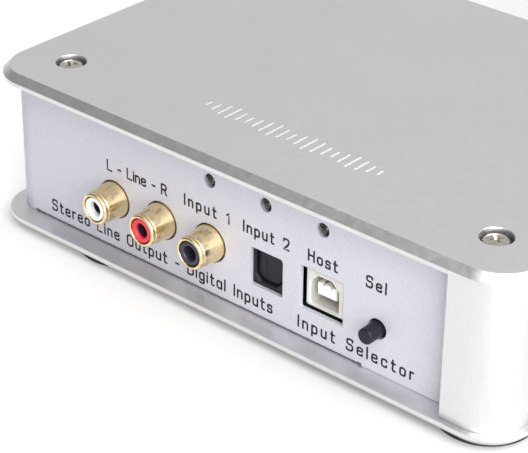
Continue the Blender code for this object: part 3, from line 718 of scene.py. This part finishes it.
def make_jacks():
    """Profiles as (radius, distance out of the panel)."""
    reach, tip, base = JACK_REACH, 4.25 * mm, 4.9 * mm
    root, shoulder, flare = -8.0 * mm, -2.0 * mm, 2.4 * mm
    bore, insulator, pin_bore = 3.4 * mm, 3.1 * mm, 1.95 * mm
    lip, inner_lip, round_edge = 0.55 * mm, 0.3 * mm, 0.12 * mm
    barrel = [(bore, root), (tip, root), (tip, shoulder), (base, shoulder)]
    barrel += soften(
        [
            (base, -1.5 * mm), (base, 0.3 * mm), (tip + 0.34 * mm, flare),
            # a shallow groove behind the lip
            (tip + 0.03 * mm, reach - 1.35 * mm), (tip - 0.10 * mm, reach - 1.22 * mm),
            (tip, reach - 1.05 * mm), (tip, reach - lip - 0.05 * mm),
        ],
        round_edge,
    )
    barrel += arc((tip - lip, reach - lip), lip, 0, 90, 8)
    barrel += arc((bore + inner_lip, reach - inner_lip), inner_lip, 90, 180, 6)

    back, hollow, hollow_back = -9.0 * mm, 2.4 * mm, -7.5 * mm
    front, throat = reach - 0.15 * mm, reach - 3.7 * mm
    tail_bore = 0.9 * mm
    sleeve = soften(
        [
            (tail_bore, back), (insulator, back), (insulator, front),
            (pin_bore + 0.25 * mm, front), (pin_bore, reach - 0.5 * mm), (pin_bore, throat),
            (hollow, throat), (hollow, hollow_back), (tail_bore, hollow_back),
        ],
        round_edge, closed=True,
    )

    tail, tail_back, end = 0.6 * mm, -10.2 * mm, -7.2 * mm
    outer, inner, wall, mouth = 2.1 * mm, 1.65 * mm, 0.6 * mm, reach - 4.0 * mm
    contact = soften(
        [
            (0, tail_back), (tail, tail_back), (tail, end), (outer, end), (outer, mouth),
            (inner, mouth), (inner, end + wall), (0, end + wall),
        ],
        0.08 * mm, 2,
    )

    inserts = {"left_out": "insert_white", "right_out": "insert_red", "coaxial": "insert_black"}
    # A black sleeve inside each pin bore, from a given depth inwards: painted shade deep in the
    # bore, standing for part of the insulator.
    bore_shade_starts = {"left_out": 1.9 * mm, "right_out": 1.1 * mm, "coaxial": 1.1 * mm}
    inside, outside = pin_bore - 0.12 * mm, pin_bore + 0.05 * mm
    for name in JACKS:
        start = reach - bore_shade_starts[name]
        liner = [(inside, start), (inside, throat), (outside, throat), (outside, start)]
        for part, cad, profile, look, tube in (
            ("barrel", "barrel", barrel, "jack_gold", True),
            ("insulator", "insulator", sleeve, inserts[name], True),
            ("liner", "insulator", liner, "insert_black", True),
            ("contact", "contact", contact, "contact_gold", False),
        ):
            cad = f"{name}_{cad}"
            add(
                f"fine_{name}_{part}", turned(profile, 96, tube), LOOKS[look],
                stands_for=(cad,), matrix=out_of_panel(cad), smooth=50,
            )


# ---------------------------------------------------------------- optical socket


def make_optical_socket():
    low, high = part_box("optical_housing")
    face, back, x = low[1], high[1], middle("optical_housing", 0)
    half, cut_off, bevel = 4.05 * mm, 1.6 * mm, 0.05 * mm
    mouth_low, mouth_high = FLOOR_TOP + 9.8 * mm, FLOOR_TOP + 17.8 * mm
    cavity_end = face + 9.0 * mm

    def mouth(grow, y):
        a, b, c, k = half + grow, mouth_low - grow, mouth_high + grow, cut_off + 0.6 * grow
        ring = [(-a, c), (-a, b + k), (-a + k, b), (a - k, b), (a, b + k), (a, c)]
        return [(x + u, y, v) for u, v in ring]

    edges = (low[0], high[0], low[2], high[2])
    housing = add(
        "fine_optical_housing", round_front(edges, face, back, 0.6 * mm, 0.4 * mm),
        LOOKS["black_plastic"], stands_for=("optical_housing",),
    )
    lead = 0.35 * mm
    loops = [mouth(lead + mm, face - mm), mouth(0.0, face + lead), mouth(0.0, cavity_end)]
    boolean(housing, loft(loops), "mouth")
    # Behind the mouth: a pocket for the optical module, and the bore of its ferrule
    centre = (mouth_low + mouth_high) / 2
    across, upright, wall = 3.8 * mm, 3.6 * mm, 2.0 * mm
    pocket = block(
        (x - across, cavity_end + wall, centre - upright),
        (x + across, back + mm, centre + upright),
    )
    boolean(housing, pocket, "pocket")
    boolean(
        housing, disc(1.5 * mm, -3.0 * mm, mm, 40), "ferrule_bore",
        matrix=Matrix.Translation((x, cavity_end, centre)) @ TO_REAR,
    )
    flap_low, flap_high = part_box("optical_shutter")
    hinge = Vector((x, middle("optical_shutter", 1), FLOOR_TOP + 17.15 * mm))
    sideways = Matrix.Translation(hinge) @ Matrix.Rotation(math.radians(90), 4, "Y")
    boolean(housing, disc(0.7 * mm, -6.0 * mm, 6.0 * mm, 32), "hinge_bore", matrix=sideways)
    edge_bevel(housing, bevel)

    # The flap: a plate with a groove, hung from its pins
    thick = 0.7 * mm
    a, bottom, top = half - 0.35 * mm, flap_low[2], hinge.z + 0.3 * mm
    outline = [
        (-a, top), (-a, bottom + cut_off), (-a + cut_off, bottom), (a - cut_off, bottom),
        (a, bottom + cut_off), (a, top),
    ]
    flap = add(
        "fine_optical_shutter",
        prism([(x + u, v) for u, v in outline], hinge.y - thick / 2, hinge.y + thick / 2, "Y"),
        LOOKS["black_plastic"], body="optical_shutter",
        stands_for=("optical_shutter",),
    )
    boolean(
        flap, disc(0.4 * mm, flap_low[0] - x, flap_high[0] - x, 24), "pins", "UNION",
        matrix=sideways,
    )
    deep = 0.12 * mm
    groove = block(
        (x - 1.45 * mm, hinge.y - thick, bottom + 0.5 * mm),
        (x - 1.15 * mm, hinge.y - thick / 2 + deep, top - 1.1 * mm),
    )
    boolean(flap, groove, "groove")
    edge_bevel(flap, bevel)


# ---------------------------------------------------------------- USB socket


def make_usb_socket():
    low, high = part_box("usb_shell")
    face, back, x = low[1], high[1], middle("usb_shell", 0)
    half, cut_off, small = 4.23 * mm, 2.1 * mm, 0.5 * mm
    plug_low, plug_high = FLOOR_TOP + 10.2 * mm, FLOOR_TOP + 18.0 * mm

    def plug(inset):
        a, b, c, k = half - inset, plug_low + inset, plug_high - inset, cut_off - 0.6 * inset
        ring = [
            (-a, b + small), (-a + small, b), (a - small, b), (a, b + small), (a, c - k),
            (a - k, c), (-a + k, c), (-a, c - k),
        ]
        return [(x + u, v) for u, v in ring]

    # A dark gap shows at the left of the shell and below it
    edges = (low[0] + GAP, high[0], low[2] + GAP, high[2])
    shell = add(
        "fine_usb_shell", round_front(edges, face, back, 0.9 * mm, 0.75 * mm), LOOKS["usb_steel"],
        stands_for=("usb_shell",),
    )
    steps = ((face - mm, -1.35 * mm), (face + 0.35 * mm, 0.0), (back + mm, 0.0))
    loops = [[(u, y, v) for u, v in plug(inset)] for y, inset in steps]
    boolean(shell, loft(loops), "plug_way")
    edge_bevel(shell, 0.06 * mm)

    tongue_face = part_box("usb_insert")[0][1]
    tongue_half, tongue_mid, tongue_high = 2.9 * mm, FLOOR_TOP + 14.2 * mm, 1.6 * mm
    root = face + 9.5 * mm
    insert = add(
        "fine_usb_insert", prism(plug(GAP), root, back - 0.5 * mm, "Y"), LOOKS["insert_white"],
        stands_for=("usb_insert",),
    )
    tongue = rounded_box(
        x - tongue_half, x + tongue_half, tongue_mid - tongue_high, tongue_mid + tongue_high,
        0.2 * mm, 4,
    )
    boolean(insert, prism(tongue, tongue_face, root + mm, "Y"), "tongue", "UNION")
    wide, thick = 0.4 * mm, 0.4 * mm
    spots = [(hand, offset) for hand in (1, -1) for offset in (-1.25 * mm, 1.25 * mm)]
    for number, (hand, offset) in enumerate(spots, start=1):
        # The upper grooves, hand 1, run out through the tongue's face
        at, level = x + offset, tongue_mid + hand * tongue_high
        under, over = sorted((level - hand * (thick + SEAM), level + hand * GAP))
        start = tongue_face - mm if hand > 0 else tongue_face + 0.35 * mm
        groove = block((at - wide - SEAM, start, under), (at + wide + SEAM, back + mm, over))
        boolean(insert, groove, f"groove_{number}")
        cad = f"usb_contact_{number}"
        first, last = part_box(cad)
        base, top = (first[2], last[2]) if hand > 0 else (last[2], first[2])
        spring = soften(
            [
                (first[1], base + hand * 0.12 * mm), (first[1] + 0.5 * mm, top),
                (last[1], top), (last[1], base), (first[1], base),
            ],
            0.05 * mm, 2, closed=True,
        )
        add(
            f"fine_{cad}", prism(spring, first[0], last[0], "X"), LOOKS["contact_gold"],
            stands_for=(cad,),
        )
    edge_bevel(insert, 0.05 * mm)


# ---------------------------------------------------------------- button and lamps


def make_button():
    low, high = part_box("switch_button")
    radius, tip, root = (high[0] - low[0]) / 2, PANEL - low[1], PANEL - high[1]
    edge, crown = 0.55 * mm, 0.01 * mm
    profile = [(0, root), (radius, root)]
    profile += arc((radius - edge, tip - edge), edge, 0, 90, 6)
    profile += [(0.4 * radius, tip - crown), (0, tip)]
    add(
        "fine_switch_button", turned(profile, 72), LOOKS["black_plastic"], body="switch_button",
        stands_for=("switch_button",), matrix=out_of_panel("switch_button"),
    )


def make_lamps():
    lens, tip = 1.5 * mm, 0.2 * mm
    seat, collar_high = -4.8 * mm, 0.9 * mm
    lead, lead_side = 0.3 * mm, 1.27 * mm
    for name in LAMPS:
        cad = f"{name}_lamp"
        low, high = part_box(cad)
        back = PANEL - high[1]
        collar = (high[0] - low[0]) / 2
        profile = [
            (0, seat), (collar, seat), (collar, seat + collar_high), (lens, seat + collar_high),
            (lens, tip - lens),
        ]
        profile += dome(lens, tip - lens, lens) + [(0, tip)]
        lamp = add(
            f"fine_{cad}", turned(profile, 64), LOOKS["lamp_lens"],
            stands_for=(cad,), matrix=out_of_panel(cad),
        )
        for hand in (-1, 1):
            at = out_of_panel(cad) @ Matrix.Translation((hand * lead_side, 0, 0))
            boolean(lamp, disc(lead, back, seat + 0.4 * mm, 16), "lead", "UNION", matrix=at)


# ---------------------------------------------------------------- print

GLYPHS = {
    # Each letter's width, then its strokes, in cap heights. A stroke is its corner
    # radius and its points, and a closed stroke ends in "o".
    "L": (0.52, [(0.0, [(0, 1), (0, 0), (0.52, 0)])]),
    "I": (0.0, [(0.0, [(0, 0), (0, 1)])]),
    "H": (0.58, [(0.0, [(0, 0), (0, 1)]), (0.0, [(0.58, 0), (0.58, 1)]),
                 (0.0, [(0, 0.52), (0.58, 0.52)])]),
    "D": (0.6, [(0.0, [(0, 0), (0, 1)]), (0.3, [(0, 1), (0.6, 1), (0.6, 0), (0, 0)])]),
    "R": (0.58, [(0.0, [(0, 0), (0, 1)]), (0.24, [(0, 1), (0.56, 1), (0.56, 0.5), (0, 0.5)]),
                 (0.0, [(0.3, 0.5), (0.58, 0)])]),
    "S": (0.58, [(0.26, [(0.56, 0.82), (0.56, 1), (0.02, 1), (0.02, 0.53), (0.58, 0.53),
                         (0.58, 0), (0, 0), (0, 0.18)])]),
    "O": (0.64, [(0.32, [(0, 0), (0.64, 0), (0.64, 1), (0, 1), "o"])]),
    "a": (0.48, [(0.24, [(0, 0), (0.48, 0), (0.48, 0.66), (0, 0.66), "o"]),
                 (0.0, [(0.48, 0.66), (0.48, 0)])]),
    "c": (0.46, [(0.23, [(0.46, 0.5), (0.46, 0.66), (0, 0.66), (0, 0), (0.46, 0),
                         (0.46, 0.16)])]),
    "e": (0.48, [(0.22, [(0, 0.35), (0.48, 0.35), (0.48, 0.66), (0, 0.66), (0, 0), (0.48, 0),
                         (0.48, 0.12)])]),
    "g": (0.48, [(0.24, [(0, 0), (0.48, 0), (0.48, 0.66), (0, 0.66), "o"]),
                 (0.2, [(0.48, 0.66), (0.48, -0.3), (0.02, -0.3), (0.02, -0.2)])]),
    "i": (0.0, [(0.0, [(0, 0), (0, 0.66)]), (0.0, [(0, 0.88), (0, 0.92)])]),
    "l": (0.0, [(0.0, [(0, 0), (0, 1)])]),
    "n": (0.46, [(0.0, [(0, 0), (0, 0.66)]), (0.23, [(0, 0.36), (0, 0.66), (0.46, 0.66),
                                                    (0.46, 0)])]),
    "o": (0.48, [(0.24, [(0, 0), (0.48, 0), (0.48, 0.66), (0, 0.66), "o"])]),
    "p": (0.48, [(0.0, [(0, -0.3), (0, 0.66)]),
                 (0.24, [(0, 0), (0.48, 0), (0.48, 0.66), (0, 0.66), "o"])]),
    "r": (0.32, [(0.0, [(0, 0), (0, 0.66)]), (0.22, [(0, 0.36), (0, 0.66), (0.32, 0.66)])]),
    "s": (0.44, [(0.17, [(0.42, 0.54), (0.42, 0.66), (0.01, 0.66), (0.01, 0.34), (0.44, 0.34),
                         (0.44, 0), (0, 0), (0, 0.12)])]),
    "t": (0.36, [(0.16, [(0.12, 0.94), (0.12, 0), (0.36, 0)]), (0.0, [(0, 0.66), (0.34, 0.66)])]),
    "u": (0.46, [(0.23, [(0, 0.66), (0, 0), (0.46, 0), (0.46, 0.3)]),
                 (0.0, [(0.46, 0.66), (0.46, 0)])]),
    "1": (0.22, [(0.0, [(0, 0.78), (0.22, 1), (0.22, 0)])]),
    "2": (0.56, [(0.26, [(0, 0.78), (0, 1), (0.54, 1), (0.54, 0.58), (0.27, 0.27)]),
                 (0.0, [(0.27, 0.27), (0, 0), (0.56, 0)])]),
    "-": (0.34, [(0.0, [(0, 0.44), (0.34, 0.44)])]),
    " ": (0.3, []),
}


def ink(name, strokes, half_width, matrix, look):
    """Thin raised print: each stroke is a round-ended strip, a hair above the face."""
    end_angles = [math.radians(degrees) for degrees in (30, 60, 85)]
    curve = bpy.data.curves.new(name, "CURVE")
    curve.dimensions = "3D"
    curve.bevel_depth = half_width
    curve.bevel_resolution = 1
    curve.use_fill_caps = True
    for points, closed in strokes:
        reach = [(p, 1.0) for p in points]
        if not closed:
            for end, before in ((0, 1), (-1, -2)):
                out = (Vector(points[end]) - Vector(points[before])).normalized()
                tips = [
                    (tuple(Vector(points[end]) + out * half_width * math.sin(a)), math.cos(a))
                    for a in end_angles
                ]
                reach = reach + tips if end else tips[::-1] + reach
        spline = curve.splines.new("POLY")
        spline.points.add(len(reach) - 1)
        for point, ((u, v), radius) in zip(spline.points, reach):
            point.co = (u, v, 0, 1)
            point.radius = radius
        spline.use_cyclic_u = closed
    obj = bpy.data.objects.new(name + "_path", curve)
    bpy.context.scene.collection.objects.link(obj)
    bpy.context.view_layer.update()
    graph = bpy.context.evaluated_depsgraph_get()
    mesh = bpy.data.meshes.new_from_object(obj.evaluated_get(graph))
    bpy.data.objects.remove(obj, do_unlink=True)
    bpy.data.curves.remove(curve)
    bm = bmesh.new()
    bm.from_mesh(mesh)
    bpy.data.meshes.remove(mesh)
    flat = Matrix.Diagonal((1, 1, INK_THICK / half_width, 1))
    bmesh.ops.transform(bm, matrix=flat, verts=bm.verts)
    return add(name, bm, look, matrix=matrix, smooth=60)


def lettering(text, height, width):
    """Strokes of a line of text, spaced to fill a width and centred on x = 0."""
    natural = sum(GLYPHS[c][0] for c in text) * height
    gap = (width - natural) / (len(text) - 1)
    strokes, x = [], -width / 2
    for character in text:
        advance, parts = GLYPHS[character]
        for radius, points in parts:
            closed = points[-1] == "o"
            points = [p for p in points if p != "o"]
            if radius:
                points = soften(points, radius, 7, closed)
            placed = [(x + u * height, v * height) for u, v in points]
            strokes.append((placed, closed))
        x += advance * height + gap
    return strokes


def make_legends():
    pen = 0.28 * mm  # half a stroke's width
    upper = (FLOOR_TOP + 22.2 * mm, 2.8 * mm)  # level and cap height
    lower = (FLOOR_TOP + 2.8 * mm, 3.0 * mm)
    lines = (
        ("outputs", "L - Line - R", -34.0 * mm, 20.6 * mm, upper),
        ("input_1", "Input 1", -10.2 * mm, 14.6 * mm, upper),
        ("input_2", "Input 2", 9.0 * mm, 14.2 * mm, upper),
        ("host", "Host", 26.5 * mm, 8.6 * mm, upper),
        ("select", "Sel", 42.3 * mm, 5.6 * mm, upper),
        ("rear_note", "Stereo Line Output - Digital Inputs", -27.2 * mm, 76.6 * mm, lower),
        ("select_note", "Input Selector", 36.8 * mm, 34.6 * mm, lower),
    )
    for name, text, x, width, (z, cap) in lines:
        at = Matrix.Translation((x, PANEL, z)) @ TO_REAR
        ink(
            f"legend_{name}", lettering(text, cap, width), pen, at, LOOKS["ink_dark"],
        )


def make_emblem():
    """A generic row of level bars on the top plate, read from the front side."""
    levels = [0.3, 0.5, 0.8, 0.95, 0.7, 0.45, 0.6, 0.85, 1.0, 0.75, 0.5]
    levels += levels[-2::-1]
    pitch, tall, pen = 2.7 * mm, 6.2 * mm, 0.30 * mm
    x, y = 2.8 * mm, -37.3 * mm
    strokes = []
    for i, share in enumerate(levels):
        u = (i - (len(levels) - 1) / 2) * pitch
        strokes.append((((u, -tall * share / 2), (u, tall * share / 2)), False))
    at = Matrix.Translation((x, y, TOP_HIGH[2])) @ Matrix.Rotation(math.pi, 4, "Z")
    ink("level_bars", strokes, pen, at, LOOKS["ink_pale"])


# ---------------------------------------------------------------- floor, light, camera


def make_stage():
    bpy.ops.mesh.primitive_plane_add(size=6.0, location=(0, 0, 0))
    floor = bpy.context.object
    floor.name = "floor"
    paper = bpy.data.materials.new("paper")
    paper.use_nodes = True
    tree = paper.node_tree
    shader = tree.nodes["Principled BSDF"]
    shader.inputs["Roughness"].default_value = 0.9
    place = node(tree, "TexCoord").outputs["Object"]
    axes = node(tree, "SeparateXYZ", {"Vector": place})

    def step(axis, low, high, start, end):
        return spread(tree, axes.outputs[axis], low, high, start, end, "SMOOTHSTEP")

    # Paler on the left of the casing than on its right, where the key is close
    mottle = tint(tree, noise(tree, place, 40 * mm), grey(0.98), grey(1.0))
    across = spread(tree, axes.outputs["X"], 0.0, 1.0, -80 * mm, 100 * mm)
    shade = tint(tree, across, grey(0.695), grey(0.405), 0.0, 1.0)
    tree.links.new(tinted(tree, mottle, shade), shader.inputs["Base Color"])

    # The extra glow lies on the left of the casing. It fades out towards the casing's
    # shadow and in front of the sockets.
    close_by = combine(
        tree, "MULTIPLY",
        step("X", 1.0, 0.0, -94 * mm, -76 * mm), step("Y", 1.0, 0.0, 0.0, 80 * mm),
    )
    around = combine(tree, "MAXIMUM", close_by, step("X", 1.0, 0.0, -240 * mm, -60 * mm))
    extra = combine(tree, "MULTIPLY", around, step("Y", 0.0, LEFT_GLOW, -110 * mm, -45 * mm))
    tree.links.new(combine(tree, "ADD", extra, FLOOR_GLOW), shader.inputs["Emission Strength"])
    shader.inputs["Emission Color"].default_value = (1.0, 1.0, 1.0, 1.0)
    floor.data.materials.append(paper)


def make_key():
    """A square softbox beyond the right end of the rear panel."""
    light = bpy.data.lights.new("key", "AREA")
    light.shape = "RECTANGLE"
    light.size = light.size_y = KEY_SIZE
    light.energy = KEY_POWER
    obj = bpy.data.objects.new("key", light)
    bpy.context.scene.collection.objects.link(obj)
    obj.location = KEY_AT
    obj.rotation_euler = (Vector(KEY_AIM) - Vector(KEY_AT)).to_track_quat("-Z", "Y").to_euler()


def make_world():
    """A pale studio, darker up to the left of the sockets' side and brighter overhead."""
    world = bpy.data.worlds.new("studio")
    bpy.context.scene.world = world
    world.use_nodes = True
    tree = world.node_tree
    background = tree.nodes["Background"]
    where = node(tree, "TexCoord").outputs["Generated"]

    def toward(direction, start, end, low, high):
        aimed = node(
            tree, "VectorMath", {0: where, 1: Vector(direction).normalized()},
            operation="DOT_PRODUCT",
        ).outputs["Value"]
        return spread(tree, aimed, low, high, start, end, "SMOOTHSTEP")

    dark = toward((-0.74, -0.52, 0.43), 0.72, 0.97, SKY, 0.27 * SKY)
    overhead = toward((0.30, -0.15, 0.94), 0.80, 0.93, 0.0, 1.35)
    tree.links.new(combine(tree, "ADD", dark, overhead), background.inputs["Strength"])
    background.inputs["Color"].default_value = (1.0, 1.0, 1.0, 1.0)


def make_camera():
    data = bpy.data.cameras.new("camera")
    camera = bpy.data.objects.new("camera", data)
    bpy.context.scene.collection.objects.link(camera)
    data.sensor_width = 36.0
    data.lens = LENS_WIDTHS * data.sensor_width
    data.clip_start, data.clip_end = 0.01, 50.0
    camera.matrix_world = (
        Matrix.Translation(CAMERA_AT)
        @ Matrix.Rotation(math.radians(AZIMUTH), 4, "Z")
        @ Matrix.Rotation(math.radians(90 - ELEVATION), 4, "X")
        @ Matrix.Rotation(math.radians(ROLL), 4, "Z")
    )
    bpy.context.scene.camera = camera


make_plates()
make_wrap()
make_rear_panel()
make_top_screws()
make_feet()
make_jacks()
make_optical_socket()
make_usb_socket()
make_button()
make_lamps()
make_legends()
make_emblem()
make_stage()
make_world()
make_key()
make_camera()
bpy.context.scene.view_settings.view_transform = "Standard"
